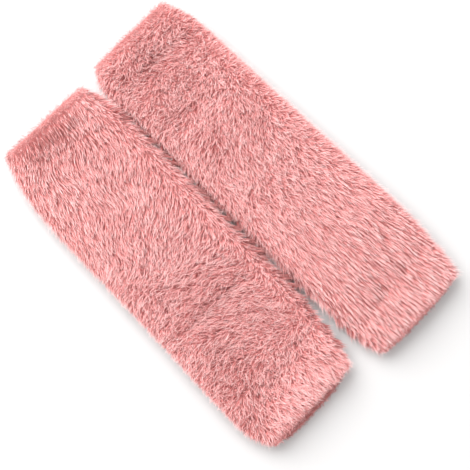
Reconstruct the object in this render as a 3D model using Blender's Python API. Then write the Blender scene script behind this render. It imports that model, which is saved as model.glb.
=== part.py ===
"""A pair of long plush knee pads for a baby, lying flat side by side.

Each pad is a pull-on tube of long-pile plush: a leg with a narrow elasticated cuff at the
ankle and a wider one at the thigh. The walls are as thick as the backing and its pile
together, and they close round one flat hollow that opens at both ends.

Lengths in the tables and constants are millimetres. In a pad's own frame X runs from the
ankle to the thigh, Y across the pad and Z up from the surface that it lies on.
"""

import math
from typing import NamedTuple

import bmesh
import bpy
from mathutils import Vector

MM = 0.001
COLLECTION = "plush_knee_pads"

# Wall and hollow
SIDE_WALL = 10.5  # pile and backing together at the folded sides
HOLLOW_MIDDLE = 9.0  # height of the hollow's middle plane
SEAM_GAP = 0.3  # between a cuff and the leg it is sewn to
LIP_REACH = 6.0  # how far a cuff's turned edge stands past its last section
LIP_LEAN = 1.5  # how much further the lower layer's edge stands, and how much less the upper's

# Form of a section. A power under 1 squares the curve up towards a rounded box.
WIDEST_SHARE = 0.38  # height of the widest line, as a share of the section's height
SIDE_POWER = 0.45
CROWN_POWER = 0.62
SOLE_POWER = 0.50
SOLE_SINK = 1.12  # over 1, so that the sole is cut off flat by the surface
HOLLOW_SIDE_POWER = 0.70
HOLLOW_CROWN_POWER = 0.40

# Fineness
AROUND = 52  # points round a section
CROWDING = 0.2  # how much closer the points stand over the top and the sole
LIP_STEPS = 4  # steps over a turned edge
OUTSIDE_STEP = 7.0  # largest distance between two sections of the outside
INSIDE_STEP = 40.0  # the inside is plain, so its sections lie further apart

PLUSH_COLOUR = (0.80, 0.36, 0.35, 1.0)
PLUSH_ROUGHNESS = 0.95


class Section(NamedTuple):
    """One section of a pad: where it is, its size, and how far it slants across."""

    station: float
    half_width: float
    drift: float
    height: float
    hollow_height: float
    slant: float


class Fold(NamedTuple):
    """A soft trough, or a ridge where the depth is negative, in a pad's upper face."""

    station: float
    across: float
    half_length: float
    half_width: float
    depth: float
    slant: float


class Pad(NamedTuple):
    """One pad: its place on the surface, its two seams, its sections and its folds."""

    name: str
    place: tuple
    heading_degrees: float
    ankle_seam: float
    thigh_seam: float
    sections: tuple
    folds: tuple


LEFT_PAD = Pad(
    name="left",
    place=(-2.4, -47.0),
    heading_degrees=-0.85,
    ankle_seam=-124.0,
    thigh_seam=108.0,
    sections=(
        # station, half_width, drift, height, hollow_height, slant
        Section(-140.0, 42.4, 1.1, 16.5, 6.0, -0.03),
        Section(-126.0, 44.7, 1.6, 18.0, 6.2, 0.12),
        Section(-108.0, 48.0, 0.6, 20.8, 6.6, 0.08),
        Section(-80.0, 49.4, -0.1, 22.6, 6.8, 0.02),
        Section(-20.0, 49.3, 0.1, 23.0, 6.8, 0.00),
        Section(40.0, 49.2, 0.4, 22.4, 6.8, -0.04),
        Section(80.0, 49.4, 0.0, 20.6, 6.6, -0.14),
        Section(108.0, 48.7, -0.3, 18.2, 6.2, -0.25),
        Section(122.0, 46.7, 0.0, 18.8, 6.0, -0.16),
        Section(139.5, 41.6, 0.0, 17.0, 6.0, -0.05),
    ),
    folds=(
        # station, across, half_length, half_width, depth, slant
        Fold(-128.0, 0.0, 46.0, 8.5, 2.6, 0.13),
        Fold(-129.0, -10.0, 20.0, 8.0, 1.0, 0.10),
        Fold(45.5, -2.0, 38.0, 5.5, 1.5, 0.02),
        Fold(28.0, -26.0, 16.0, 8.0, 0.8, -0.35),
        Fold(82.0, -18.0, 22.0, 10.0, 0.9, -0.20),
        Fold(108.0, 0.0, 60.0, 6.5, 2.2, -0.25),
        Fold(124.5, 29.0, 8.0, 6.5, 1.3, 0.00),
        Fold(126.5, -31.0, 7.0, 6.0, 1.3, 0.00),
        Fold(-58.0, 12.0, 26.0, 8.0, 0.7, 0.25),
    ),
)

RIGHT_PAD = Pad(
    name="right",
    place=(-0.7, 52.3),
    heading_degrees=0.85,
    ankle_seam=-121.0,
    thigh_seam=117.0,
    sections=(
        # station, half_width, drift, height, hollow_height, slant
        Section(-148.0, 40.0, -1.3, 16.5, 6.0, -0.03),
        Section(-134.0, 44.2, -0.7, 17.8, 6.0, 0.01),
        Section(-121.0, 45.7, -0.6, 18.4, 6.2, 0.05),
        Section(-104.0, 45.8, -0.6, 20.8, 6.6, 0.03),
        Section(-70.0, 45.8, -0.8, 22.2, 6.8, 0.00),
        Section(0.0, 46.4, -0.6, 22.6, 6.8, 0.00),
        Section(60.0, 46.9, -0.3, 22.0, 6.8, -0.02),
        Section(100.0, 46.4, -0.3, 20.0, 6.4, -0.04),
        Section(117.0, 45.5, -0.9, 18.8, 6.2, -0.06),
        Section(132.0, 44.2, -1.2, 19.0, 6.0, -0.04),
        Section(145.5, 41.2, -1.2, 17.0, 6.0, -0.02),
    ),
    folds=(
        # station, across, half_length, half_width, depth, slant
        Fold(-124.0, -4.0, 42.0, 8.5, 2.6, 0.04),
        Fold(-116.0, -27.0, 14.0, 8.0, 1.2, -0.30),
        Fold(-115.0, 24.0, 16.0, 8.0, 1.2, 0.25),
        Fold(-72.0, -12.0, 22.0, 7.0, 1.0, 0.10),
        Fold(-32.0, 2.0, 28.0, 8.0, 0.9, 0.15),
        Fold(24.0, -20.0, 20.0, 8.0, 0.9, -0.10),
        Fold(97.0, 22.0, 18.0, 7.0, 1.1, 0.10),
        Fold(117.0, 0.0, 60.0, 6.5, 1.9, -0.06),
    ),
)


def signed_power(value, power):
    """The value's size raised to a power, with its sign kept."""
    return math.copysign(abs(value) ** power, value)


def at_station(pad, station):
    """The pad's section at any station, on a smooth curve through its table's rows."""
    rows = pad.sections
    station = min(max(station, rows[0].station), rows[-1].station)
    last = len(rows) - 2
    i = next((k for k in range(last) if station <= rows[k + 1].station), last)
    low, high = rows[i], rows[i + 1]
    span = high.station - low.station
    share = (station - low.station) / span
    before, after = rows[max(i - 1, 0)], rows[min(i + 2, len(rows) - 1)]

    def blend(column):
        """A cubic between two rows, level with the rows beyond them."""
        a, b = low[column], high[column]
        slope_a = (b - before[column]) / (high.station - before.station) * span
        slope_b = (after[column] - a) / (after.station - low.station) * span
        ease = share * share * (3.0 - 2.0 * share)
        rise = share * (1.0 - share) ** 2
        fall = share * share * (share - 1.0)
        return a + (b - a) * ease + slope_a * rise + slope_b * fall

    return Section(station, *(blend(column) for column in range(1, len(low))))


def fold_depth(pad, station, across):
    """How deep the pad's folds press its upper face at a point."""
    depth = 0.0
    for fold in pad.folds:
        aside = across - fold.across
        ahead = station - fold.station - fold.slant * aside
        reach = (aside / fold.half_length) ** 4 + (ahead / fold.half_width) ** 2
        depth += fold.depth * math.exp(-reach)
    return depth


def outside_point(pad, station, turn):
    """A point of the pile's outer surface. A turn of 0 is the +Y side and a quarter is the top."""
    section = at_station(pad, station)
    cosine, sine = math.cos(turn), math.sin(turn)
    widest = WIDEST_SHARE * section.height
    across = section.drift + section.half_width * signed_power(cosine, SIDE_POWER)
    ahead = station + section.slant * across
    if sine >= 0.0:
        crown = (section.height - widest) * sine**CROWN_POWER
        height = widest + crown - fold_depth(pad, ahead, across) * sine**CROWN_POWER
    else:
        height = max(0.0, widest * (1.0 - SOLE_SINK * (-sine) ** SOLE_POWER))
    return Vector((ahead, across, height))


def inside_point(pad, station, turn):
    """A point of the hollow's wall, which is plain."""
    section = at_station(pad, station)
    cosine, sine = math.cos(turn), math.sin(turn)
    half_width = section.half_width - SIDE_WALL
    across = section.drift + half_width * signed_power(cosine, HOLLOW_SIDE_POWER)
    rise = 0.5 * section.hollow_height * signed_power(sine, HOLLOW_CROWN_POWER)
    return Vector((station + section.slant * across, across, HOLLOW_MIDDLE + rise))


def turns():
    """The turns of the points round a section."""
    even = [2.0 * math.pi * i / AROUND for i in range(AROUND)]
    return [turn + 0.5 * CROWDING * math.sin(2.0 * turn) for turn in even]


def stations(start, end, largest_step):
    """Evenly spaced stations from start to end."""
    steps = max(1, math.ceil(abs(end - start) / largest_step))
    return [start + (end - start) * i / steps for i in range(steps + 1)]


def lip_rings(pad, station, outward):
    """The rings of a cuff's turned edge, from the outside over the end to the hollow."""
    rings = []
    for step in range(1, LIP_STEPS):
        roll = math.pi * step / LIP_STEPS
        ring = []
        for turn in turns():
            outer = outside_point(pad, station, turn)
            inner = inside_point(pad, station, turn)
            reach = (LIP_REACH - LIP_LEAN * math.sin(turn)) * math.sin(roll)
            ring.append(
                (outer + inner) / 2.0
                + (outer - inner) / 2.0 * math.cos(roll)
                + Vector((outward * reach, 0.0, 0.0))
            )
        rings.append(ring)
    return rings


def wall_rings(pad, start, end, lip_at_end):
    """The closed chain of rings round a wall from start to end: out along the outside, back inside."""
    outside = [
        [outside_point(pad, station, turn) for turn in turns()]
        for station in stations(start, end, OUTSIDE_STEP)
    ]
    inside = [
        [inside_point(pad, station, turn) for turn in turns()]
        for station in stations(end, start, INSIDE_STEP)
    ]
    lip = lip_rings(pad, end, math.copysign(1.0, end - start)) if lip_at_end else []
    return outside + lip + inside


def loft(name, rings):
    """A closed wall lofted through a chain of rings, the last of which joins the first."""
    shape = bmesh.new()
    loops = [[shape.verts.new(point * MM) for point in ring] for ring in rings]
    for i, loop in enumerate(loops):
        following = loops[(i + 1) % len(loops)]
        for j in range(AROUND):
            k = (j + 1) % AROUND
            shape.faces.new((loop[j], loop[k], following[k], following[j]))
    bmesh.ops.recalc_face_normals(shape, faces=shape.faces)
    bmesh.ops.triangulate(shape, faces=shape.faces)
    mesh = bpy.data.meshes.new(name)
    shape.to_mesh(mesh)
    shape.free()
    mesh.shade_smooth()
    return bpy.data.objects.new(name, mesh)


def plush():
    """The pink plush that every piece is made of."""
    material = bpy.data.materials.new("pink_plush")
    material.use_nodes = True
    shader = material.node_tree.nodes["Principled BSDF"]
    shader.inputs["Base Color"].default_value = PLUSH_COLOUR
    shader.inputs["Roughness"].default_value = PLUSH_ROUGHNESS
    shader.inputs["Metallic"].default_value = 0.0
    return material


def leg(pad):
    """The leg between the two cuffs."""
    start = pad.ankle_seam + SEAM_GAP / 2.0
    end = pad.thigh_seam - SEAM_GAP / 2.0
    return loft(f"{pad.name}_leg", wall_rings(pad, start, end, lip_at_end=False))


def ankle_cuff(pad):
    """The narrow cuff at the ankle, from its seam to its turned edge."""
    start = pad.ankle_seam - SEAM_GAP / 2.0
    rings = wall_rings(pad, start, pad.sections[0].station, lip_at_end=True)
    return loft(f"{pad.name}_ankle_cuff", rings)


def thigh_cuff(pad):
    """The wider cuff at the thigh, from its seam to its turned edge."""
    start = pad.thigh_seam + SEAM_GAP / 2.0
    rings = wall_rings(pad, start, pad.sections[-1].station, lip_at_end=True)
    return loft(f"{pad.name}_thigh_cuff", rings)


def build_pad(pad, collection, material):
    """One pad's pieces on an empty that holds its place and heading."""
    origin = bpy.data.objects.new(f"{pad.name}_pad", None)
    origin.location = Vector((*pad.place, 0.0)) * MM
    origin.rotation_euler.z = math.radians(pad.heading_degrees)
    collection.objects.link(origin)
    for piece in (leg(pad), ankle_cuff(pad), thigh_cuff(pad)):
        piece.data.materials.append(material)
        piece.parent = origin
        collection.objects.link(piece)
    return origin


def centre_on_origin(collection, origins):
    """Moves the pads together, so that the middle of their footprint is the origin."""
    bpy.context.view_layer.update()
    points = [
        piece.matrix_world @ vertex.co
        for piece in collection.objects
        if piece.type == "MESH"
        for vertex in piece.data.vertices
    ]
    for axis in (0, 1):
        low = min(point[axis] for point in points)
        high = max(point[axis] for point in points)
        for origin in origins:
            origin.location[axis] -= (low + high) / 2.0


def main():
    """Clears the scene and builds the pair."""
    for old in list(bpy.data.objects):
        bpy.data.objects.remove(old)
    collection = bpy.data.collections.new(COLLECTION)
    bpy.context.scene.collection.children.link(collection)
    material = plush()
    origins = [build_pad(pad, collection, material) for pad in (LEFT_PAD, RIGHT_PAD)]
    centre_on_origin(collection, origins)


main()
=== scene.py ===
"""A pair of long plush knee pads for a baby, laid flat side by side on a white surface.

Each pad is a tube of plush with a cuff at the ankle and one at the thigh. Its cloth is a thin
closed wall with the form of the part's solids, and its pile is grown from that wall in locks
that follow the way the pile was stroked.

In a pad's own frame X runs from the ankle to the thigh, Y across the pad and Z up. Lengths in
the tables are millimetres; meshes are made in metres.
"""

import logging
import math
from dataclasses import dataclass
from enum import Enum
from typing import NamedTuple

import bmesh
import bpy
import numpy as np
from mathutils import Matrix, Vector


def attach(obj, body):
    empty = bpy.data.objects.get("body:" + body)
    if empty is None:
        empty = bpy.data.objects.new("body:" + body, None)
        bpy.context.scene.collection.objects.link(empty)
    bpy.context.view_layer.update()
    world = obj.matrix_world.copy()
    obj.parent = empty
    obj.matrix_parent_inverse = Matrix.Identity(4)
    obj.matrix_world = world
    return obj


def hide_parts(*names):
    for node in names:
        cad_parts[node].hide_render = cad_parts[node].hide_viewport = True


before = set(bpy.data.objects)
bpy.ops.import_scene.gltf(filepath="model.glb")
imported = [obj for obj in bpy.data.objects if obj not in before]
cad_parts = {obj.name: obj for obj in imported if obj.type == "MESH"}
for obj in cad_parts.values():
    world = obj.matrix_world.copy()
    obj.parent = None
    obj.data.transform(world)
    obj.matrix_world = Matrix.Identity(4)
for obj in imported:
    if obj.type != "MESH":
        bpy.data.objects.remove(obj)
log = logging.getLogger("plush_knee_pads")

MM = 0.001
TURN = 2.0 * math.pi
SOLE_SINE = -0.35
FLOOR_CLEARANCE = 0.12
NARROWING = 0.35
MAP_EDGE = 0.02
TONE_EDGE = 0.1


class Section(NamedTuple):
    """One section of a pad: where it is, its size, and how far it slants across."""

    station: float
    half_width: float
    drift: float
    height: float
    hollow_height: float
    slant: float


class Fold(NamedTuple):
    """A soft trough, or a ridge where the depth is negative, in a pad's upper face."""

    station: float
    across: float
    half_length: float
    half_width: float
    depth: float
    slant: float


class Stroke(NamedTuple):
    """How the pile was stroked at a station: its heading in degrees from +X towards +Y at the
    pad's -Y edge, middle and +Y edge, and how ruffled it is at those edges, from 0 to 1."""

    station: float
    heading_low: float
    heading_middle: float
    heading_high: float
    ruffle_low: float
    ruffle_high: float


class Grade(NamedTuple):
    """One grade of fibre in the pile: how dense it grows, in locks of how many strands, their
    length, spread and width in millimetres, how many degrees they rise at root and tip, their
    tone, how far a lock draws together, where along it a strand bends, how many times denser
    it grows at the sides and edges, how far it may reach past a cuff's turned edge, how much
    of the cutting down at the sides and edges it gets, and how full it stays where the pile
    lies smooth."""

    locks_per_mm2: float
    strands: int
    length: float
    lock_radius: float
    width: float
    rise_root: float
    rise_tip: float
    tone: float
    draw: float
    bends: tuple[float, ...]
    edges: float
    fringe: float
    cutting: float
    smooth_share: float


# The undercoat's low tone is painted shade deep under the guard hair.
UNDERCOAT = Grade(
    locks_per_mm2=0.90, strands=4, length=8.0, lock_radius=0.38, width=0.27,
    rise_root=42.0, rise_tip=14.0, tone=0.32, draw=0.45, bends=(0.45,),
    edges=1.0, fringe=0.5, cutting=1.0, smooth_share=1.0,
)
GUARD_HAIR = Grade(
    locks_per_mm2=0.42, strands=3, length=12.0, lock_radius=0.16, width=0.165,
    rise_root=54.0, rise_tip=6.0, tone=0.90, draw=0.75, bends=(0.30, 0.64),
    edges=1.0, fringe=2.0, cutting=1.0, smooth_share=0.6,
)
FUZZ = Grade(
    locks_per_mm2=0.05, strands=2, length=8.5, lock_radius=0.70, width=0.10,
    rise_root=62.0, rise_tip=40.0, tone=1.0, draw=0.0, bends=(0.5,),
    edges=24.0, fringe=4.0, cutting=0.25, smooth_share=1.0,
)


class Coat(Enum):
    """The stretches of pile that are grown as separate pieces."""

    ANKLE_HALF = "pile_ankle_half"
    THIGH_HALF = "pile_thigh_half"
    SOLE = "pile_sole"
    CUFF = "pile"


class Part(Enum):
    """The cut pieces of a pad."""

    LEG = "leg"
    ANKLE_CUFF = "ankle_cuff"
    THIGH_CUFF = "thigh_cuff"


def signed_power(value: np.ndarray, power: float) -> np.ndarray:
    """The size of each value raised to a power, with its sign kept."""
    return np.sign(value) * np.abs(value) ** power


def unit(vectors: np.ndarray) -> np.ndarray:
    """The vectors brought to a length of 1."""
    return vectors / np.maximum(np.linalg.norm(vectors, axis=-1, keepdims=True), 1e-9)


def ramp(value: np.ndarray, limits: tuple[float, float]) -> np.ndarray:
    """A share that goes evenly from 0 at the first limit to 1 at the second."""
    return np.clip((value - limits[0]) / (limits[1] - limits[0]), 0.0, 1.0)


def with_ruffle(pair: tuple[float, float], ruffle: np.ndarray) -> np.ndarray:
    """The first value of a pair, with as much of the second as the pile is ruffled."""
    return pair[0] + pair[1] * ruffle


def start_material(name: str) -> tuple[bpy.types.Material, bpy.types.Nodes, bpy.types.NodeLinks]:
    """A new material with its nodes and links."""
    material = bpy.data.materials.new(name)
    material.use_nodes = True
    return material, material.node_tree.nodes, material.node_tree.links


@dataclass(frozen=True)
class Drift:
    """A smooth random field over a plane, made from waves of about one length.

    The waves run in headings spread evenly between two limits.
    """

    seed: int
    wavelength: float
    waves: int = 14
    headings: tuple[float, float] = (0.0, TURN)

    def at(self, x: np.ndarray, y: np.ndarray) -> np.ndarray:
        """The field's value at points.

        Args:
            x: First coordinate of the points, in millimetres.
            y: Second coordinate of the points, in millimetres.

        Returns:
            Values with a spread of about 1 round 0.
        """
        chance = np.random.default_rng(self.seed)
        heading = chance.uniform(*self.headings, self.waves)
        pitch = TURN / (self.wavelength * chance.uniform(0.7, 1.5, self.waves))
        phase = chance.uniform(0.0, TURN, self.waves)
        total = np.zeros(np.broadcast(x, y).shape)
        for a, k, p in zip(heading, pitch, phase):
            total += np.sin(k * (x * math.cos(a) + y * math.sin(a)) + p)
        return total * math.sqrt(2.0 / self.waves)


GAP_DRIFT = Drift(4, 7.5)


@dataclass(frozen=True)
class PadForm:
    """The form of one pad: its tables, its sections and the surfaces that run through them.

    Facing is 1 where the other pad lies on the +Y side and -1 on the -Y side. Thigh lean is how
    far the thigh's turned edge leans back at the top, and thigh lip painted shade how much
    painted shade darkens its lower half. Outer inset draws the cloth in at the free side, under
    looser pile. Side rise is how steeply the pile stands in the gap, and gap painted light how
    much painted light lightens the pile beside it.
    """

    side: str
    place: tuple[float, float]
    heading_degrees: float
    ankle_seam: float
    thigh_seam: float
    sections: tuple[Section, ...]
    folds: tuple[Fold, ...]
    strokes: tuple[Stroke, ...]
    # Partings stand the pile up, and their depth also paints shade on it, or painted light where
    # negative.
    partings_and_painted_shade: tuple[Fold, ...]
    facing: float
    thigh_lean: float
    # Painted shade on the lower half of the thigh cuff's turned edge.
    thigh_lip_painted_shade: float
    outer_inset: float
    side_rise: float
    # Painted light on the pile beside the gap.
    gap_painted_light: float
    seed: int
    side_wall: float = 10.5
    hollow_middle: float = 9.0
    lip_reach: float = 6.0
    widest_share: float = 0.38
    sole_sink: float = 1.12
    side_rounding: float = 0.45
    crown_rounding: float = 0.62
    hollow_side_rounding: float = 0.70
    hollow_crown_rounding: float = 0.40
    unevenness: float = 0.45
    uneven_size: float = 34.0
    stroke_reach: float = 34.0
    stroke_limit: float = 1.2

    def section(self, station: np.ndarray) -> list[np.ndarray]:
        """The table's columns after the station, on a smooth curve through its rows.

        Args:
            station: Stations, in millimetres.

        Returns:
            One array for each column.
        """
        rows = np.array(self.sections)
        places = rows[:, 0]
        station = np.clip(station, places[0], places[-1])
        last = len(rows) - 2
        i = np.clip(np.searchsorted(places[1:], station, side="left"), 0, last)
        low, high = rows[i], rows[i + 1]
        before, after = rows[np.maximum(i - 1, 0)], rows[np.minimum(i + 2, last + 1)]
        span = high[..., :1] - low[..., :1]
        share = (station[..., None] - low[..., :1]) / span
        slope_a = (high - before) / (high[..., :1] - before[..., :1]) * span
        slope_b = (after - low) / (after[..., :1] - low[..., :1]) * span
        ease = share * share * (3.0 - 2.0 * share)
        rise = share * (1.0 - share) ** 2
        fall = share * share * (share - 1.0)
        blend = low + (high - low) * ease + slope_a * rise + slope_b * fall
        return [blend[..., column] for column in range(1, rows.shape[1])]

    @staticmethod
    def press(folds: tuple[Fold, ...], station: np.ndarray, across: np.ndarray) -> np.ndarray:
        """The sum of some folds' depths at points of the upper face."""
        depth = np.zeros(np.broadcast(station, across).shape)
        for fold in folds:
            aside = across - fold.across
            ahead = station - fold.station - fold.slant * aside
            reach = (aside / fold.half_length) ** 4 + (ahead / fold.half_width) ** 2
            depth = depth + fold.depth * np.exp(-reach)
        return depth

    def fold_depth(self, station: np.ndarray, across: np.ndarray) -> np.ndarray:
        """How deep the folds and the cloth's own unevenness press the upper face."""
        uneven = self.unevenness * Drift(self.seed, self.uneven_size).at(station, across)
        return self.press(self.folds, station, across) + uneven

    def layer(
        self, station: np.ndarray, turn: np.ndarray, share: float | np.ndarray
    ) -> np.ndarray:
        """A surface between the pile's tips and the hollow.

        Args:
            station: Stations, in millimetres.
            turn: Turns round the section, 0 at the +Y side and a quarter turn at the top.
            share: 0 at the tips of the pile and 1 at the wall of the hollow.

        Returns:
            Points in the pad's frame, in millimetres.
        """
        half_width, drift, height, hollow, slant = self.section(station)
        cosine, sine = np.cos(turn), np.sin(turn)
        up, down = np.maximum(sine, 0.0), np.maximum(-sine, 0.0)
        widest = self.widest_share * height
        outer_y = half_width * signed_power(cosine, self.side_rounding)
        sole = np.maximum(widest * (1.0 - self.sole_sink * down**0.5), 0.0)
        crown = up**self.crown_rounding
        outer_z = np.where(sine >= 0.0, widest + (height - widest) * crown, sole)
        inner_half = half_width - self.side_wall
        inner_y = inner_half * signed_power(cosine, self.hollow_side_rounding)
        inner_rise = 0.5 * hollow * signed_power(sine, self.hollow_crown_rounding)
        inner_z = self.hollow_middle + inner_rise
        across = drift + outer_y + (inner_y - outer_y) * share
        ahead = station + slant * across
        press = self.fold_depth(ahead, across) * crown
        level = outer_z + (inner_z - outer_z) * share - press
        return np.stack(np.broadcast_arrays(ahead, across, level), axis=-1)

    def to_row(self, points: np.ndarray) -> np.ndarray:
        """Points of the pad's frame in the row frame, in metres."""
        angle = math.radians(self.heading_degrees)
        c, s = math.cos(angle), math.sin(angle)
        turned = np.stack(
            [
                points[..., 0] * c - points[..., 1] * s + self.place[0],
                points[..., 0] * s + points[..., 1] * c + self.place[1],
                points[..., 2],
            ],
            axis=-1,
        )
        return turned * MM

    def stroke(self, station: np.ndarray, across: np.ndarray) -> tuple[np.ndarray, np.ndarray]:
        """How the pile lies at points of the upper face.

        Args:
            station: Stations, in millimetres.
            across: Distances across the pad, in millimetres.

        Returns:
            The headings in radians from +X towards +Y, and the ruffle from 0 to 1.
        """
        rows = np.array(self.strokes)
        low, middle, high, ruffle_low, ruffle_high = (
            np.interp(station, rows[:, 0], rows[:, column]) for column in range(1, 6)
        )
        side = np.clip(across / self.stroke_reach, -self.stroke_limit, self.stroke_limit)
        heading = middle + np.where(side < 0.0, (low - middle) * -side, (high - middle) * side)
        share = 0.5 + 0.5 * np.clip(side, -1.0, 1.0)
        return np.radians(heading), ruffle_low + (ruffle_high - ruffle_low) * share


@dataclass(frozen=True)
class PlushFinish:
    """The pile: dark at the roots as painted shade deep in the pile, light at the tips,
    each lock in a tone of its own.
    """

    name: str = "pink_pile"
    # Colours along a strand: the darkening towards the root is painted shade deep in the pile.
    root: tuple[float, float, float] = (0.66, 0.260, 0.250)
    middle: tuple[float, float, float] = (0.88, 0.440, 0.430)
    tip: tuple[float, float, float] = (1.00, 0.920, 0.910)
    middle_place: float = 0.42
    darkest: tuple[float, float, float] = (0.44, 0.20, 0.19)
    usual: tuple[float, float, float] = (0.92, 0.61, 0.60)
    lightest: tuple[float, float, float] = (1.0, 1.0, 1.0)
    tones: int = 32
    roughness: float = 0.48
    specular: float = 0.40
    sheen: float = 0.35
    sheen_roughness: float = 0.4
    sheen_tint: tuple[float, float, float] = (1.0, 0.80, 0.78)
    glow: float = 0.22

    def build(self) -> bpy.types.Material:
        """Makes the material, which reads the tone and the place along a strand from the map."""
        material, nodes, links = start_material(self.name)
        shader = nodes["Principled BSDF"]
        uv = nodes.new("ShaderNodeUVMap")
        uv.uv_map = "OFBake"
        parts = nodes.new("ShaderNodeSeparateXYZ")
        links.new(uv.outputs["UV"], parts.inputs["Vector"])
        along = nodes.new("ShaderNodeValToRGB")
        self.fill(along, ((0.0, self.root), (self.middle_place, self.middle), (1.0, self.tip)))
        links.new(parts.outputs["Y"], along.inputs["Fac"])
        tone = nodes.new("ShaderNodeValToRGB")
        self.fill(tone, ((0.0, self.darkest), (0.5, self.usual), (1.0, self.lightest)))
        links.new(parts.outputs["X"], tone.inputs["Fac"])
        mix = nodes.new("ShaderNodeMix")
        mix.data_type = "RGBA"
        mix.blend_type = "MULTIPLY"
        mix.inputs["Factor"].default_value = 1.0
        links.new(along.outputs["Color"], mix.inputs["A"])
        links.new(tone.outputs["Color"], mix.inputs["B"])
        links.new(mix.outputs["Result"], shader.inputs["Base Color"])
        shader.inputs["Roughness"].default_value = self.roughness
        shader.inputs["Sheen Weight"].default_value = self.sheen
        shader.inputs["Sheen Roughness"].default_value = self.sheen_roughness
        shader.inputs["Sheen Tint"].default_value = (*self.sheen_tint, 1.0)
        shader.inputs["Specular IOR Level"].default_value = self.specular
        through = nodes.new("ShaderNodeBsdfTranslucent")
        links.new(mix.outputs["Result"], through.inputs["Color"])
        both = nodes.new("ShaderNodeMixShader")
        both.inputs["Fac"].default_value = self.glow
        links.new(shader.outputs["BSDF"], both.inputs[1])
        links.new(through.outputs["BSDF"], both.inputs[2])
        links.new(both.outputs["Shader"], nodes["Material Output"].inputs["Surface"])
        return material

    @staticmethod
    def fill(ramp: bpy.types.ShaderNodeValToRGB, stops: tuple) -> None:
        """Sets a ramp's stops, each a place and a colour."""
        elements = ramp.color_ramp.elements
        while len(elements) < len(stops):
            elements.new(0.5)
        for element, (place, colour) in zip(elements, stops):
            element.position = place
            element.color = (*colour, 1.0)


@dataclass(frozen=True)
class BackingFinish:
    """The knitted backing that carries the pile: fine courses and wales in a deeper pink."""

    name: str = "pink_backing"
    light: tuple[float, float, float] = (0.62, 0.250, 0.240)
    dark: tuple[float, float, float] = (0.42, 0.130, 0.125)
    light_to: float = 0.1
    dark_from: float = 0.75
    courses: float = 260.0
    wales: float = 190.0
    unevenness: float = 0.25
    relief: float = 0.0004
    relief_strength: float = 0.7
    roughness: float = 0.9
    sheen: float = 0.2

    def build(self) -> bpy.types.Material:
        """Makes the material, with its stitches laid out on the piece's own map."""
        material, nodes, links = start_material(self.name)
        shader = nodes["Principled BSDF"]
        uv = nodes.new("ShaderNodeUVMap")
        uv.uv_map = "OFBake"
        scale = nodes.new("ShaderNodeMapping")
        scale.inputs["Scale"].default_value = (self.courses, self.wales, 1.0)
        links.new(uv.outputs["UV"], scale.inputs["Vector"])
        stitch = nodes.new("ShaderNodeTexVoronoi")
        stitch.inputs["Randomness"].default_value = self.unevenness
        links.new(scale.outputs["Vector"], stitch.inputs["Vector"])
        colours = nodes.new("ShaderNodeValToRGB")
        PlushFinish.fill(colours, ((self.light_to, self.light), (self.dark_from, self.dark)))
        links.new(stitch.outputs["Distance"], colours.inputs["Fac"])
        links.new(colours.outputs["Color"], shader.inputs["Base Color"])
        bump = nodes.new("ShaderNodeBump")
        bump.invert = True
        bump.inputs["Distance"].default_value = self.relief
        bump.inputs["Strength"].default_value = self.relief_strength
        links.new(stitch.outputs["Distance"], bump.inputs["Height"])
        links.new(bump.outputs["Normal"], shader.inputs["Normal"])
        shader.inputs["Roughness"].default_value = self.roughness
        shader.inputs["Sheen Weight"].default_value = self.sheen
        return material


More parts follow.
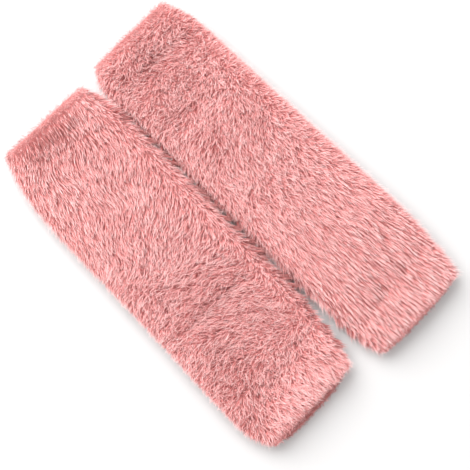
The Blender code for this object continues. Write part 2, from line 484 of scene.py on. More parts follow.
@dataclass
class ClothWall:
    """A closed ring of plush cloth, laid out as rings of points round the tube.

    The rings run along the outside, over a cuff's turned edge if there is one, and back along
    the lining side to the first ring.
    """

    form: PadForm
    start: float
    end: float
    has_lip: bool
    top_share: float = 0.50
    side_share: float = 0.30
    cloth_share: float = 0.28
    around: int = 60
    ring_step: float = 5.0
    lip_setback: float = 1.8
    lip_lean: float = 0.5
    corner_cut: float = 0.0
    lip_steps: int = 8
    facing_depth: float = 20.0
    flatness: float = 0.7
    arc_samples: int = 1441

    @property
    def outwards(self) -> float:
        """1 where the wall runs towards the thigh, and -1 where it runs towards the ankle."""
        return math.copysign(1.0, self.end - self.start)

    def __post_init__(self) -> None:
        """Works out the rings and the frame of the cloth at each of their points."""
        steps = max(2, math.ceil(abs(self.end - self.start) / self.ring_step))
        forth = np.linspace(self.start, self.end, steps + 1)
        turn = self.even_turns()
        self.turn = turn
        upright = np.abs(np.sin(turn)) ** self.flatness
        share = self.side_share + (self.top_share - self.side_share) * upright
        outer = np.clip(-np.cos(turn) * self.form.facing, 0.0, 1.0) ** 2
        share = share + self.form.outer_inset * outer
        outside = self.form.layer(forth[:, None], turn[None, :], share)
        lining = self.form.layer(forth[::-1, None], turn[None, :], share + self.cloth_share)
        rings = [outside]
        self.depth = [0.0] * len(forth)
        if self.has_lip:
            rings.append(self.lip(turn, share))
            self.depth += [0.0] * (self.lip_steps - 1)
        rings.append(lining)
        self.depth += list(np.abs(forth[::-1] - self.end) + 0.5)
        self.depth = np.array(self.depth)
        self.points = np.concatenate(rings, axis=0)
        self.outside_rings = len(forth)
        self.along = unit(np.roll(self.points, -1, axis=0) - np.roll(self.points, 1, axis=0))
        self.along[0] = unit(self.points[1] - self.points[0])
        if not self.has_lip:
            last = len(forth) - 1
            self.along[last] = unit(self.points[last] - self.points[last - 1])
        self.round = unit(np.roll(self.points, -1, axis=1) - np.roll(self.points, 1, axis=1))
        self.out = unit(np.cross(self.round, self.along)) * self.outwards
        self.along = self.along * self.outwards

    def even_turns(self) -> np.ndarray:
        """Turns that part the ring at the wall's middle into equal lengths."""
        dense = np.linspace(0.0, TURN, self.arc_samples)
        middle = np.full(self.arc_samples, (self.start + self.end) / 2.0)
        ring = self.form.layer(middle, dense, self.top_share)
        steps = np.linalg.norm(np.diff(ring, axis=0), axis=-1)
        arc = np.concatenate([[0.0], np.cumsum(steps)])
        return np.interp(np.linspace(0.0, arc[-1], self.around, endpoint=False), arc, dense)

    def lip(self, turn: np.ndarray, share: np.ndarray) -> np.ndarray:
        """The rings of the turned edge."""
        outer = self.form.layer(np.array([[self.end]]), turn[None, :], share)
        inner = self.form.layer(np.array([[self.end]]), turn[None, :], share + self.cloth_share)
        roll = np.pi * np.arange(1, self.lip_steps)[:, None, None] / self.lip_steps
        reach = self.form.lip_reach - self.lip_lean * np.sin(turn) - self.lip_setback
        reach = reach * (1.0 - self.corner_cut * np.abs(np.cos(turn)) ** 3)
        rings = (outer + inner) / 2.0 + (outer - inner) / 2.0 * np.cos(roll)
        rings[..., 0] += self.outwards * reach * np.sin(roll)[..., 0]
        return rings

    def build(self, name: str, material: bpy.types.Material) -> bpy.types.Object:
        """Makes the wall's mesh from a grid that is rolled into the rings and welded.

        Args:
            name: Name of the piece.
            material: Finish of the cloth.

        Returns:
            The finished piece.
        """
        rings = len(self.points)
        points = self.form.to_row(self.points)
        shape = bmesh.new()
        shape.loops.layers.uv.new("OFBake")
        bmesh.ops.create_grid(
            shape, x_segments=self.around, y_segments=rings, size=0.5, calc_uvs=True
        )
        shape.verts.ensure_lookup_table()
        for index, vertex in enumerate(shape.verts):
            row, column = divmod(index, self.around + 1)
            vertex.co = Vector(points[row % rings, column % self.around])
        bmesh.ops.remove_doubles(shape, verts=shape.verts, dist=1e-7)
        bmesh.ops.recalc_face_normals(shape, faces=shape.faces)
        mesh = bpy.data.meshes.new(name)
        shape.to_mesh(mesh)
        shape.free()
        mesh.shade_smooth()
        mesh.materials.append(material)
        piece = bpy.data.objects.new(name, mesh)
        bpy.context.scene.collection.objects.link(piece)
        return piece


@dataclass(frozen=True)
class Zones:
    """Where the kinds of place on a pad are.

    Each pair is where a share is 0 and where it is 1: sines of the turn for the first four,
    stations for the next six, and distances in millimetres for the last three. Three of the
    single limits are sines: pile above the first takes painted light at the sides and edges
    and pile below it painted shade, a turned edge gets painted shade below the second, and
    pile beside the gap gets painted light above the third. The fourth is how far a wall has
    to face the gap to be its wall, and the fifth is the notch share that ends it.
    """

    upper_face: tuple[float, float] = (-1.0 / 3.0, 0.0)
    shoulder: tuple[float, float] = (0.85, 0.35)
    side: tuple[float, float] = (0.34, 0.0)
    gap_wall: tuple[float, float] = (0.225, -0.025)
    gap_start: tuple[float, float] = (-122.0, -102.0)
    gap_end: tuple[float, float] = (138.0, 118.0)
    gap_deep: tuple[float, float] = (118.0, 58.0)
    gap_open: tuple[float, float] = (0.0, 40.0)
    # Stations over which the painted light beside the gap comes in.
    gap_painted_light: tuple[float, float] = (-50.0, -10.0)
    notch: tuple[float, float] = (-100.0, -115.0)
    gap_side: tuple[float, float] = (26.0, 38.0)
    lip: tuple[float, float] = (-1.5, 0.0)
    rim: tuple[float, float] = (5.0, 0.0)
    lit_from: float = -0.2
    shaded_below: float = 0.1
    lightened_above: float = 0.2
    facing_from: float = 0.3
    notch_from: float = 0.3


@dataclass(frozen=True)
class Lay:
    """How the pile swings, stands and is shaded, beside what its strokes and grades say.

    A pair is what smooth pile has, and what the most ruffled pile has on top of that, but
    limits, headings, reach and width are a least and a most. Swings, rises and partings are in
    degrees, twists, headings and tilts in radians, and sizes, length limits and fringes in
    millimetres. The rest are shares.
    """

    swirl: tuple[float, float] = (4.0, 8.0)
    tuft: tuple[float, float] = (1.5, 13.0)
    fine: tuple[float, float] = (0.5, 24.0)
    stray: tuple[float, float] = (1.2, 19.0)
    splay: tuple[float, float] = (4.0, 64.0)
    curl: tuple[float, float] = (0.07, 0.60)
    wave: tuple[float, float] = (0.08, 0.16)
    streaks: tuple[float, float] = (0.85, -5.5)
    streak_limits: tuple[float, float] = (0.05, 0.82)
    swirl_size: float = 30.0
    tuft_size: float = 8.5
    fine_size: float = 2.8
    streak_size: float = 1.5
    streak_stretch: float = 8.0
    streak_headings: tuple[float, float] = (TURN / 4.0 - 0.6, TURN / 4.0 + 0.6)
    straightening: float = 0.85
    hidden_ruffle: float = 0.30
    ankle_lip_twist: float = 0.9
    thigh_lip_twist: float = math.pi

    gap_unevenness: float = 0.7
    gap_least: float = 0.6
    gap_most: float = 1.8

    lip_density: float = 1.4
    lining_density: float = 0.5
    ruffle_density: float = 1.2
    rim_fringe: float = 0.4

    lining_length: float = 0.38
    sole_length: float = 0.55
    side_cut: float = 0.42
    rim_cut: float = 0.50
    gap_growth: float = 0.7
    notch_growth: float = 1.1
    length_spread: float = 0.14
    tuft_length: float = 0.04
    length_limits: tuple[float, float] = (2.0, 16.0)
    ruffle_cut: float = 0.25
    fringe_spread: float = 1.5
    lip_spread: float = 0.25
    fringe_least: float = 2.2

    rise_spread: float = 6.0
    root_rise: float = 12.0
    tip_rise: float = 16.0
    root_parting: float = 14.0
    tip_parting: float = 10.0
    tip_fine: float = 4.0
    bending: float = 1.35
    least_reach: float = 0.25
    root_sole: float = 0.55
    root_rim: float = 0.6
    tip_rim: float = 0.5
    side_rise: float = 66.0
    open_gap_rise: float = 60.0
    side_tip: float = 0.72

    tone_spread: float = 0.22
    tuft_tone: float = 0.03
    # Painted shade where the pile is ruffled.
    ruffle_painted_shade: float = 0.05
    # Painted shade where the pile is parted, and painted light where a parting's depth is
    # negative.
    parting_painted_shade: float = 0.55
    # Painted light at the free sides and turned edges, with more on the ankle cuff's turned edge.
    side_painted_light: float = 0.16
    ankle_rim_painted_light: float = 0.14
    # Painted shade on the pile's underside.
    sole_painted_shade: float = 0.25
    # Painted shade deep in the gap between the pads.
    gap_painted_shade: float = 0.9

    strand_reach: tuple[float, float] = (0.72, 1.08)
    strand_width: tuple[float, float] = (0.65, 1.3)
    draw_spread: float = 0.2
    loose_draw: float = -0.8
    tilt_spread: float = 0.38
    loose_thinning: float = 0.4
    lip_thinning: float = 0.2
    gap_fullness: float = 0.9


@dataclass
class Roots:
    """Where a stretch's locks are rooted, and what kind of place each root has.

    The shares go from 0 to 1: upper on the upper face, shoulder where that face rounds down to
    a side, fan at the side itself, rim near a cuff's turned edge, lip on that edge, gap in the
    gap between the pads, notch at the gap's ankle end, and parting where the pile lies apart;
    the parting also darkens the pile as painted shade, and lightens it as painted light where
    its depth is below 0.
    """

    place: np.ndarray
    out: np.ndarray
    along: np.ndarray
    left: np.ndarray
    sine: np.ndarray
    cosine: np.ndarray
    inside: np.ndarray
    faces: np.ndarray
    upper: np.ndarray
    shoulder: np.ndarray
    fan: np.ndarray
    rim: np.ndarray
    lip: np.ndarray
    gap: np.ndarray
    notch: np.ndarray
    parting_and_painted_shade: np.ndarray
    lie: np.ndarray
    stroked: np.ndarray
    ruffle: np.ndarray
    tuft: np.ndarray
    fine: np.ndarray


@dataclass
class PileCoat:
    """The pile on a stretch of cloth, grown in locks of strands that draw to a point."""

    wall: ClothWall
    name: str
    seed: int
    low_sine: float = -2.0
    high_sine: float = 2.0
    first_station: float = -1e9
    last_station: float = 1e9
    sole_thinning: float = 0.14
    broadening: float = 1.0
    lip_pile: float = 3.6
    side_sine: float = -0.02
    lay: Lay = Lay()
    zones: Zones = Zones()

    def choose_roots(self, chance: np.random.Generator, grade: Grade) -> Roots:
        """Spreads the locks evenly over the stretch of cloth.

        Args:
            chance: The piece's seeded random numbers.
            grade: The grade of fibre.

        Returns:
            The locks' roots.
        """
        wall, lay = self.wall, self.lay
        points, rings = wall.points, len(wall.points)
        following = np.roll(points, -1, axis=0)
        ahead = following - points
        aside = np.roll(points, -1, axis=1) - points
        area = np.linalg.norm(np.cross(ahead, aside), axis=-1)
        sine = np.sin(wall.turn)[None, :]
        middle = (points[..., 0] + following[..., 0]) / 2.0
        wanted = (sine >= self.low_sine) & (sine < self.high_sine)
        wanted = wanted & (middle >= self.first_station) & (middle < self.last_station)
        wanted = wanted & (wall.depth[:, None] < wall.facing_depth)
        wanted[-1] = False
        if not wall.has_lip:
            wanted[wall.outside_rings - 1 :] = False
        inside = wall.depth[:, None] > 0.0
        lip = self.lip(middle, inside)
        thin = np.where(sine < SOLE_SINE, self.sole_thinning, 1.0)
        thin = np.maximum(thin, lay.lip_density * lip) * np.where(inside, lay.lining_density, 1.0)
        ruffle = wall.form.stroke(points[..., 0], points[..., 1])[1]
        thin = thin * np.clip(grade.smooth_share + lay.ruffle_density * ruffle, 0.0, 1.0)
        fringe = np.maximum(self.fan(sine), lay.rim_fringe * self.rim(middle, inside))
        weight = area * wanted * thin * grade.locks_per_mm2 * (1.0 + (grade.edges - 1.0) * fringe)
        total = np.cumsum(weight.ravel())
        count = int(total[-1])
        picks = (np.arange(count) + chance.uniform(0.0, 1.0, count)) * total[-1] / count
        cell = np.minimum(np.searchsorted(total, picks), weight.size - 1)
        i, j = np.divmod(cell, weight.shape[1])
        a, b = chance.uniform(0.0, 1.0, (2, count))
        i2, j2 = (i + 1) % rings, (j + 1) % weight.shape[1]

        def between(field: np.ndarray) -> np.ndarray:
            """The field's value at the roots, from the four corners round each."""
            near = field[i, j] * (1 - a)[:, None] + field[i2, j] * a[:, None]
            far = field[i, j2] * (1 - a)[:, None] + field[i2, j2] * a[:, None]
            return near * (1 - b)[:, None] + far * b[:, None]

        return self.describe(
            between(points), between(wall.out), between(wall.along), wall.turn[j], wall.depth[i]
        )

    def describe(
        self,
        place: np.ndarray,
        out: np.ndarray,
        along: np.ndarray,
        turn: np.ndarray,
        depth: np.ndarray,
    ) -> Roots:
        """Finds what kind of place each root has.

        Args:
            place: Places of the roots, in millimetres.
            out: Directions out of the cloth there.
            along: Directions along the cloth towards the thigh.
            turn: Turns round the section.
            depth: How far inside the tube each root is, 0 on the outside.

        Returns:
            The roots.
        """
        form, lay, zones = self.wall.form, self.lay, self.zones
        out = unit(out)
        along = unit(along - out * np.sum(along * out, axis=-1, keepdims=True))
        station, across = place[:, 0], place[:, 1]
        sine, cosine = np.sin(turn), np.cos(turn)
        inside = depth > 0.0
        faces = cosine * form.facing
        upper = ramp(sine, zones.upper_face)
        lip = self.lip(station, inside)
        lie, stroked = form.stroke(station, across)
        wall_of_gap = ramp(sine, zones.gap_wall) * (faces > zones.facing_from) * ~inside
        ends = np.minimum(ramp(station, zones.gap_start), ramp(station, zones.gap_end))
        uneven = 1.0 + lay.gap_unevenness * GAP_DRIFT.at(station, np.zeros_like(across))
        deep = np.maximum(ramp(station, zones.gap_deep), lay.gap_least)
        return Roots(
            place=place,
            out=out,
            along=along,
            left=np.cross(out, along),
            sine=sine,
            cosine=cosine,
            inside=inside,
            faces=faces,
            upper=upper,
            shoulder=ramp(sine, zones.shoulder) * upper,
            fan=np.maximum(self.fan(sine), lip),
            rim=self.rim(station, inside),
            lip=lip,
            gap=wall_of_gap * ends * np.clip(uneven, 0.0, lay.gap_most) * deep,
            notch=wall_of_gap * ramp(station, zones.notch),
            # The partings' depth, which also gives the pile painted shade and painted light.
            parting_and_painted_shade=form.press(form.partings_and_painted_shade, station, across) * upper * ~inside,
            lie=lie,
            stroked=stroked,
            ruffle=np.where(
                inside, lay.hidden_ruffle, stroked * upper + lay.hidden_ruffle * (1.0 - upper)
            ),
            tuft=Drift(form.seed + 12, lay.tuft_size, 24).at(station, across),
            fine=Drift(form.seed + 13, lay.fine_size, 30).at(station, across),
        )

    def headings(
        self, roots: Roots, pick: np.ndarray, twist: np.ndarray, stray: np.ndarray
    ) -> np.ndarray:
        """Which way the locks point on the cloth, in radians from +X towards +Y.

        Args:
            roots: The locks' roots.
            pick: Random numbers from 0 to 1, which pick the locks that splay at a free side.
            twist: Random numbers from -1 to 1, for the locks on a turned edge.
            stray: Random numbers with a spread of 1.

        Returns:
            The headings.
        """
        lay, station = self.lay, roots.place[:, 0]
        splay = np.radians(with_ruffle(lay.splay, roots.stroked)) * np.sign(roots.cosine)
        splayed = pick < roots.shoulder * (roots.faces < 0.0)
        heading = roots.lie * (1.0 - lay.straightening * roots.shoulder * (roots.faces > 0.0))
        heading = np.where(splayed, splay, heading) * roots.upper * ~roots.inside
        most = np.where(station < 0.0, lay.ankle_lip_twist, lay.thigh_lip_twist)
        heading = heading + roots.lip * twist * most
        swirl = Drift(self.wall.form.seed + 11, lay.swirl_size).at(station, roots.place[:, 1])
        return heading + np.radians(
            swirl * with_ruffle(lay.swirl, roots.ruffle)
            + roots.tuft * with_ruffle(lay.tuft, roots.ruffle)
            + roots.fine * with_ruffle(lay.fine, roots.ruffle)
            + stray * with_ruffle(lay.stray, roots.ruffle)
        )

    def lengths(
        self, roots: Roots, grade: Grade, heading: np.ndarray, noise: np.ndarray
    ) -> np.ndarray:
        """How long the locks are: cut down at the sides and edges, and kept to the fringe.

        Args:
            roots: The locks' roots.
            grade: The grade of fibre.
            heading: Headings of the locks, in radians.
            noise: Random numbers with a spread of 1.

        Returns:
            Lengths in millimetres.
        """
        lay, upper = self.lay, roots.upper
        zone = lay.sole_length + (1.0 - lay.sole_length) * upper
        zone = np.where(roots.inside, lay.lining_length, zone)
        zone = zone * (1.0 - lay.side_cut * np.maximum(roots.shoulder, 1.0 - upper))
        zone = zone * (1.0 - lay.rim_cut * roots.rim)
        growth = np.maximum(lay.gap_growth * roots.gap, lay.notch_growth * roots.notch)
        zone = zone * (1.0 + growth)
        zone = 1.0 - (1.0 - zone) * grade.cutting
        varied = 1.0 + lay.length_spread * noise + lay.tuft_length * roots.tuft
        length = grade.length * zone * varied
        length = np.clip(length, *lay.length_limits) * (1.0 - lay.ruffle_cut * roots.ruffle)
        fringe = grade.fringe + lay.fringe_spread * noise
        length = np.minimum(length, self.trimmed(roots.place[:, 0], heading, fringe))
        lip_share = grade.length / GUARD_HAIR.length
        lip_length = self.lip_pile * lip_share * (1.0 + lay.lip_spread * noise)
        return length + (lip_length - length) * roots.lip

    def rises(
        self, roots: Roots, grade: Grade, root_noise: np.ndarray, tip_noise: np.ndarray
    ) -> tuple[np.ndarray, np.ndarray]:
        """How steeply the locks stand off the cloth at their roots and at their tips.

        Args:
            roots: The locks' roots.
            grade: The grade of fibre.
            root_noise: Random numbers with a spread of 1.
            tip_noise: Random numbers with a spread of 1.

        Returns:
            The rises in radians.
        """
        form, lay, zones = self.wall.form, self.lay, self.zones
        upper, fan = roots.upper, roots.fan
        at_root = grade.rise_root + lay.root_rise * roots.ruffle + lay.rise_spread * root_noise
        at_root = (at_root + lay.root_parting * roots.parting_and_painted_shade) * (1.0 - lay.root_rim * roots.rim)
        at_root = at_root * (lay.root_sole + (1.0 - lay.root_sole) * upper)
        at_tip = grade.rise_tip + lay.tip_rise * roots.ruffle + lay.rise_spread * tip_noise
        at_tip = at_tip + lay.tip_fine * roots.fine + lay.tip_parting * roots.parting_and_painted_shade
        at_tip = at_tip * upper * (1.0 - lay.tip_rim * roots.rim)
        opened = ramp(roots.place[:, 0], zones.gap_open)
        steep = form.side_rise + (lay.open_gap_rise - form.side_rise) * opened
        in_gap = (roots.faces > 0.0) & (roots.notch < zones.notch_from)
        steep = np.where(in_gap, steep, lay.side_rise)
        return (
            np.radians(at_root + (steep - at_root) * fan),
            np.radians(at_tip + (lay.side_tip * steep - at_tip) * fan),
        )

    def tones(self, roots: Roots, grade: Grade, noise: np.ndarray) -> np.ndarray:
        """How light the locks are: streaked where the pile is smooth, with painted shade deep in
        the gap, on the underside, on a thigh lip and where the pile is ruffled or parted, and
        painted light at the sides, on turned edges and beside the gap.

        Args:
            roots: The locks' roots.
            grade: The grade of fibre.
            noise: Random numbers with a spread of 1.

        Returns:
            Tones, about 0 for the darkest and 1 for the lightest.
        """
        form, lay, zones = self.wall.form, self.lay, self.zones
        station, across, lie = roots.place[:, 0], roots.place[:, 1], roots.lie
        streak = Drift(form.seed + 15, lay.streak_size, 40, lay.streak_headings).at(
            (station * np.cos(lie) + across * np.sin(lie)) / lay.streak_stretch,
            across * np.cos(lie) - station * np.sin(lie),
        )
        strength = np.clip(with_ruffle(lay.streaks, roots.ruffle), *lay.streak_limits)
        tone = grade.tone + lay.tone_spread * noise + lay.tuft_tone * roots.tuft
        # Painted shade where the pile is ruffled.
        tone = tone - lay.ruffle_painted_shade * roots.ruffle
        # Painted shade where the pile is parted, painted light where the parting is negative.
        tone = tone - lay.parting_painted_shade * roots.parting_and_painted_shade + streak * strength
        # Painted light at the sides and turned edges, more at the ankle's turned edge.
        painted_light = lay.side_painted_light * np.maximum(roots.fan, roots.rim)
        painted_light = painted_light + lay.ankle_rim_painted_light * roots.rim * (station < 0.0)
        # Below the lit limit the pile gets painted shade instead of painted light.
        lit = roots.sine > zones.lit_from
        tone = tone + np.where(lit, painted_light * grade.tone, -lay.sole_painted_shade)
        # Painted shade on the thigh cuff's lower lip.
        shaded = roots.lip * (roots.sine < zones.shaded_below) * (station > 0.0)
        # Painted shade deep in the gap and on the thigh cuff's lower lip.
        tone = tone - lay.gap_painted_shade * roots.gap - form.thigh_lip_painted_shade * shaded
        # Painted light on the shoulder beside the gap.
        beside = ramp(across * form.facing, zones.gap_side) * ramp(station, zones.gap_painted_light)
        return tone + form.gap_painted_light * beside * (roots.sine > zones.lightened_above)

    def grow(
        self, chance: np.random.Generator, grade: Grade
    ) -> tuple[np.ndarray, np.ndarray, np.ndarray]:
        """Grows the strands of one grade.

        Args:
            chance: The piece's seeded random numbers.
            grade: The grade of fibre.

        Returns:
            Points along the strands, their half widths as vectors, and their tones.
        """
        roots = self.choose_roots(chance, grade)
        count = len(roots.place)
        pick = chance.uniform(0.0, 1.0, count)
        twist = chance.uniform(-1.0, 1.0, count)
        noise = chance.normal(0.0, 1.0, (5, count))
        heading = self.headings(roots, pick, twist, noise[0])
        length = self.lengths(roots, grade, heading, noise[1])
        at_root, at_tip = self.rises(roots, grade, noise[2], noise[3])
        curl = noise[4] * with_ruffle(self.lay.curl, roots.ruffle)
        stops = (0.0, *grade.bends, 1.0)
        spine = [roots.place]
        for low, high in zip(stops[:-1], stops[1:]):
            mid = (low + high) / 2.0
            lift = at_root + (at_tip - at_root) * min(1.0, self.lay.bending * mid)
            turned = heading + curl * mid
            flat = roots.along * np.cos(turned)[:, None] + roots.left * np.sin(turned)[:, None]
            step = flat * np.cos(lift)[:, None] + roots.out * np.sin(lift)[:, None]
            spine.append(spine[-1] + step * (length * (high - low))[:, None])
        tone = self.tones(roots, grade, chance.normal(0.0, 1.0, count))
        return self.draw_locks(chance, grade, roots, np.stack(spine, axis=1), tone)

    def fan(self, sine: np.ndarray) -> np.ndarray:
        """How far the pile fans out at the sides of the tube, from 0 to 1."""
        return ramp(np.abs(sine - self.side_sine), self.zones.side)

    def trimmed(self, station: np.ndarray, heading: np.ndarray, fringe: np.ndarray) -> np.ndarray:
        """The longest that a lock may be to end with the fringe of a cuff's turned edge."""
        if not self.wall.has_lip:
            return np.full(len(station), self.lay.length_limits[1])
        left_over = fringe - self.past_end(station)
        reach = np.clip(np.cos(heading) * self.wall.outwards, self.lay.least_reach, 1.0)
        return np.maximum(left_over, self.lay.fringe_least) / reach

    def past_end(self, station: np.ndarray) -> np.ndarray:
        """How far stations lie past the wall's end, less than 0 before it."""
        return (station - self.wall.end) * self.wall.outwards

    def lip(self, station: np.ndarray, inside: np.ndarray) -> np.ndarray:
        """1 for roots on a cuff's turned edge, falling to 0 just behind it."""
        if not self.wall.has_lip:
            return np.zeros(np.shape(station))
        return np.where(inside, 0.0, ramp(self.past_end(station), self.zones.lip))

    def rim(self, station: np.ndarray, inside: np.ndarray) -> np.ndarray:
        """How near a root is to a cuff's turned edge, from 0 to 1 on the edge itself."""
        if not self.wall.has_lip:
            return np.zeros(np.shape(station))
        return np.where(inside, 0.0, ramp(-self.past_end(station), self.zones.rim))

    def draw_locks(
        self,
        chance: np.random.Generator,
        grade: Grade,
        roots: Roots,
        spine: np.ndarray,
        tone: np.ndarray,
    ) -> tuple[np.ndarray, np.ndarray, np.ndarray]:
        """Splits each lock into strands that start apart and draw together.

        Args:
            chance: The piece's seeded random numbers.
            grade: The grade of fibre.
            roots: The locks' roots.
            spine: Points along each lock's middle line.
            tone: Tone of each lock.

        Returns:
            Points along the strands, their half widths as vectors, and their tones.
        """
        lay, shape = self.lay, (len(spine), grade.strands)
        stops = np.array([0.0, *grade.bends, 1.0])
        loose = np.maximum(roots.fan, roots.rim)
        radius = grade.lock_radius * np.sqrt(chance.uniform(0.0, 1.0, shape))
        bearing = chance.uniform(0.0, TURN, shape)
        offset = (
            roots.along[:, None, :] * (radius * np.cos(bearing))[..., None]
            + roots.left[:, None, :] * (radius * np.sin(bearing))[..., None]
        )
        reach = chance.uniform(*lay.strand_reach, shape)
        draw = np.clip(grade.draw + chance.normal(0.0, lay.draw_spread, shape), 0.0, 1.0)
        draw = draw * (1.0 - loose[:, None]) + lay.loose_draw * loose[:, None]
        path = spine[:, None, :, :] - spine[:, None, :1, :]
        strand = spine[:, None, :1, :] + path * reach[..., None, None]
        apart = 1.0 - draw[..., None] * stops
        strand = strand + offset[:, :, None, :] * apart[..., None]
        wave = chance.normal(0.0, 1.0, (*shape, len(stops), 3)) * stops[:, None]
        wave = wave * with_ruffle(lay.wave, roots.ruffle)[:, None, None, None]
        strand = (strand + wave).reshape(-1, len(stops), 3)
        direction = strand[:, -1] - strand[:, 0]
        tilt = chance.normal(0.0, lay.tilt_spread, len(strand))[:, None]
        level = unit(np.cross(direction, np.array([0.0, 0.0, 1.0])) + 1e-6)
        steep = unit(np.cross(level, direction))
        widths = chance.uniform(*lay.strand_width, len(strand))
        half = 0.5 * grade.width * self.broadening * widths
        fullness = 1.0 - lay.loose_thinning * loose - lay.lip_thinning * roots.lip
        fullness = fullness + lay.gap_fullness * roots.gap
        half = half * np.repeat(fullness, grade.strands)
        side = (level * np.cos(tilt) + steep * np.sin(tilt)) * half[:, None]
        each = tone[:, None] + chance.normal(0.0, lay.tone_spread, shape)
        return strand, side, each.ravel()

    @staticmethod
    def ribbon(
        strand: np.ndarray, side: np.ndarray, bends: tuple[float, ...]
    ) -> tuple[np.ndarray, np.ndarray, np.ndarray, np.ndarray]:
        """Lays out flat strands that widen to the first bend and taper to a point.

        Args:
            strand: Points along the strands.
            side: Half widths of the strands, as vectors.
            bends: Places of the bends along a strand, from 0 to 1.

        Returns:
            Corners of the strands, the order in which three at a time make a triangle, and
            the corners' places across the tone (0 to 1) and along the strand.
        """
        last = len(bends)
        corners, across, down = [strand[:, 0]], [0.5], [MAP_EDGE]
        for k, place in enumerate(bends):
            narrowing = 1.0 - NARROWING * k
            corners += [strand[:, k + 1] - side * narrowing, strand[:, k + 1] + side * narrowing]
            across += [TONE_EDGE, 1.0 - TONE_EDGE]
            down += [place, place]
        corners.append(strand[:, -1])
        order = [0, 2, 1]
        for k in range(last - 1):
            left_here, right_here = 2 * k + 1, 2 * k + 2
            order += [left_here, right_here, right_here + 2]
            order += [left_here, right_here + 2, left_here + 2]
        order += [2 * last - 1, 2 * last, 2 * last + 1]
        return (
            np.stack(corners, axis=1),
            np.array(order),
            np.array([*across, 0.5]),
            np.array([*down, 1.0 - MAP_EDGE]),
        )

    def build(self, material: bpy.types.Material, tones: int) -> bpy.types.Object:
        """Makes the pile's mesh.

        Args:
            material: Finish of the pile.
            tones: How many tones the finish's map holds side by side.

        Returns:
            The finished piece.
        """
        chance = np.random.default_rng(self.seed)
        points, index, places, first = [], [], [], 0
        for grade in (UNDERCOAT, GUARD_HAIR, FUZZ):
            strand, side, tone = self.grow(chance, grade)
            corners, order, across, down = self.ribbon(strand, side, grade.bends)
            size = corners.shape[1]
            corners[..., 2] = np.maximum(corners[..., 2], FLOOR_CLEARANCE)
            points.append(self.wall.form.to_row(corners).reshape(-1, 3))
            index.append((first + np.arange(len(strand))[:, None] * size + order).ravel())
            cell = np.clip((tone * tones).astype(int), 0, tones - 1)
            place = np.empty((len(strand), size, 2))
            place[..., 0] = (cell[:, None] + across) / tones
            place[..., 1] = down
            places.append(place[:, order].reshape(-1, 2))
            first += len(strand) * size
        points, index, places = (np.concatenate(part) for part in (points, index, places))
        mesh = bpy.data.meshes.new(self.name)
        mesh.vertices.add(len(points))
        mesh.vertices.foreach_set("co", points.astype(np.float32).ravel())
        mesh.loops.add(len(index))
        mesh.loops.foreach_set("vertex_index", index.astype(np.int32))
        mesh.polygons.add(len(index) // 3)
        mesh.polygons.foreach_set("loop_start", np.arange(0, len(index), 3, dtype=np.int32))
        mesh.update(calc_edges=True)
        layer = mesh.uv_layers.new(name="OFBake")
        layer.uv.foreach_set("vector", places.astype(np.float32).ravel())
        mesh.shade_smooth()
        mesh.materials.append(material)
        piece = bpy.data.objects.new(self.name, mesh)
        bpy.context.scene.collection.objects.link(piece)
        return piece


@dataclass
class KneePad:
    """One pad: three cut pieces of cloth and the pile on them."""

    form: PadForm
    backing: bpy.types.Material
    pile: bpy.types.Material
    tones: int
    seam_gap: float = 0.3
    pile_split: float = -8.0

    def walls(self) -> dict[Part, ClothWall]:
        """The cloth of the leg and of the two cuffs."""
        form, half = self.form, self.seam_gap / 2.0
        first, last = form.sections[0].station, form.sections[-1].station
        return {
            Part.LEG: ClothWall(form, form.ankle_seam + half, form.thigh_seam - half, False),
            Part.ANKLE_CUFF: ClothWall(form, form.ankle_seam - half, first, True),
            Part.THIGH_CUFF: ClothWall(
                form, form.thigh_seam + half, last, True,
                lip_setback=3.0, lip_lean=form.thigh_lean, corner_cut=0.9,
            ),
        }

    def coats(self, walls: dict[Part, ClothWall]) -> dict[Part, list[PileCoat]]:
        """The stretches of pile on each cut piece."""
        side, seed = self.form.side, self.form.seed
        leg = walls[Part.LEG]

        def name(part: Part, coat: Coat) -> str:
            """The name of a stretch of pile."""
            return f"{side}_{part.value}_{coat.value}"

        return {
            Part.LEG: [
                PileCoat(
                    leg, name(Part.LEG, Coat.ANKLE_HALF), seed + 1,
                    low_sine=SOLE_SINE, last_station=self.pile_split,
                ),
                PileCoat(
                    leg, name(Part.LEG, Coat.THIGH_HALF), seed + 2,
                    low_sine=SOLE_SINE, first_station=self.pile_split,
                ),
                PileCoat(
                    leg, name(Part.LEG, Coat.SOLE), seed + 3,
                    high_sine=SOLE_SINE, broadening=2.3,
                ),
            ],
            Part.ANKLE_CUFF: [
                PileCoat(
                    walls[Part.ANKLE_CUFF], name(Part.ANKLE_CUFF, Coat.CUFF), seed + 4,
                    lip_pile=6.0,
                )
            ],
            Part.THIGH_CUFF: [
                PileCoat(walls[Part.THIGH_CUFF], name(Part.THIGH_CUFF, Coat.CUFF), seed + 5)
            ],
        }

    def build(self) -> None:
        """Builds each cut piece's cloth and pile, and hides the part's own solid for it."""
        walls = self.walls()
        for part, coats in self.coats(walls).items():
            wall = walls[part]
            node = f"{self.form.side}_{part.value}"
            cloth = wall.build(f"{node}_cloth", self.backing)
            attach(cloth, "root")
            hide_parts(node)
            for coat in coats:
                piece = coat.build(self.pile, self.tones)
                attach(piece, "root")
                log.info("%s: %d triangles", piece.name, len(piece.data.polygons))

    @staticmethod
    def cut(wall: ClothWall) -> tuple[float, float]:
        """The width round the tube and the length that a piece was cut to, in metres."""
        ring = wall.points[wall.outside_rings // 2]
        girth = np.linalg.norm(np.roll(ring, -1, axis=0) - ring, axis=-1).sum()
        length = abs(wall.end - wall.start)
        return round(float(girth) * MM, 3), round(length * MM, 3)


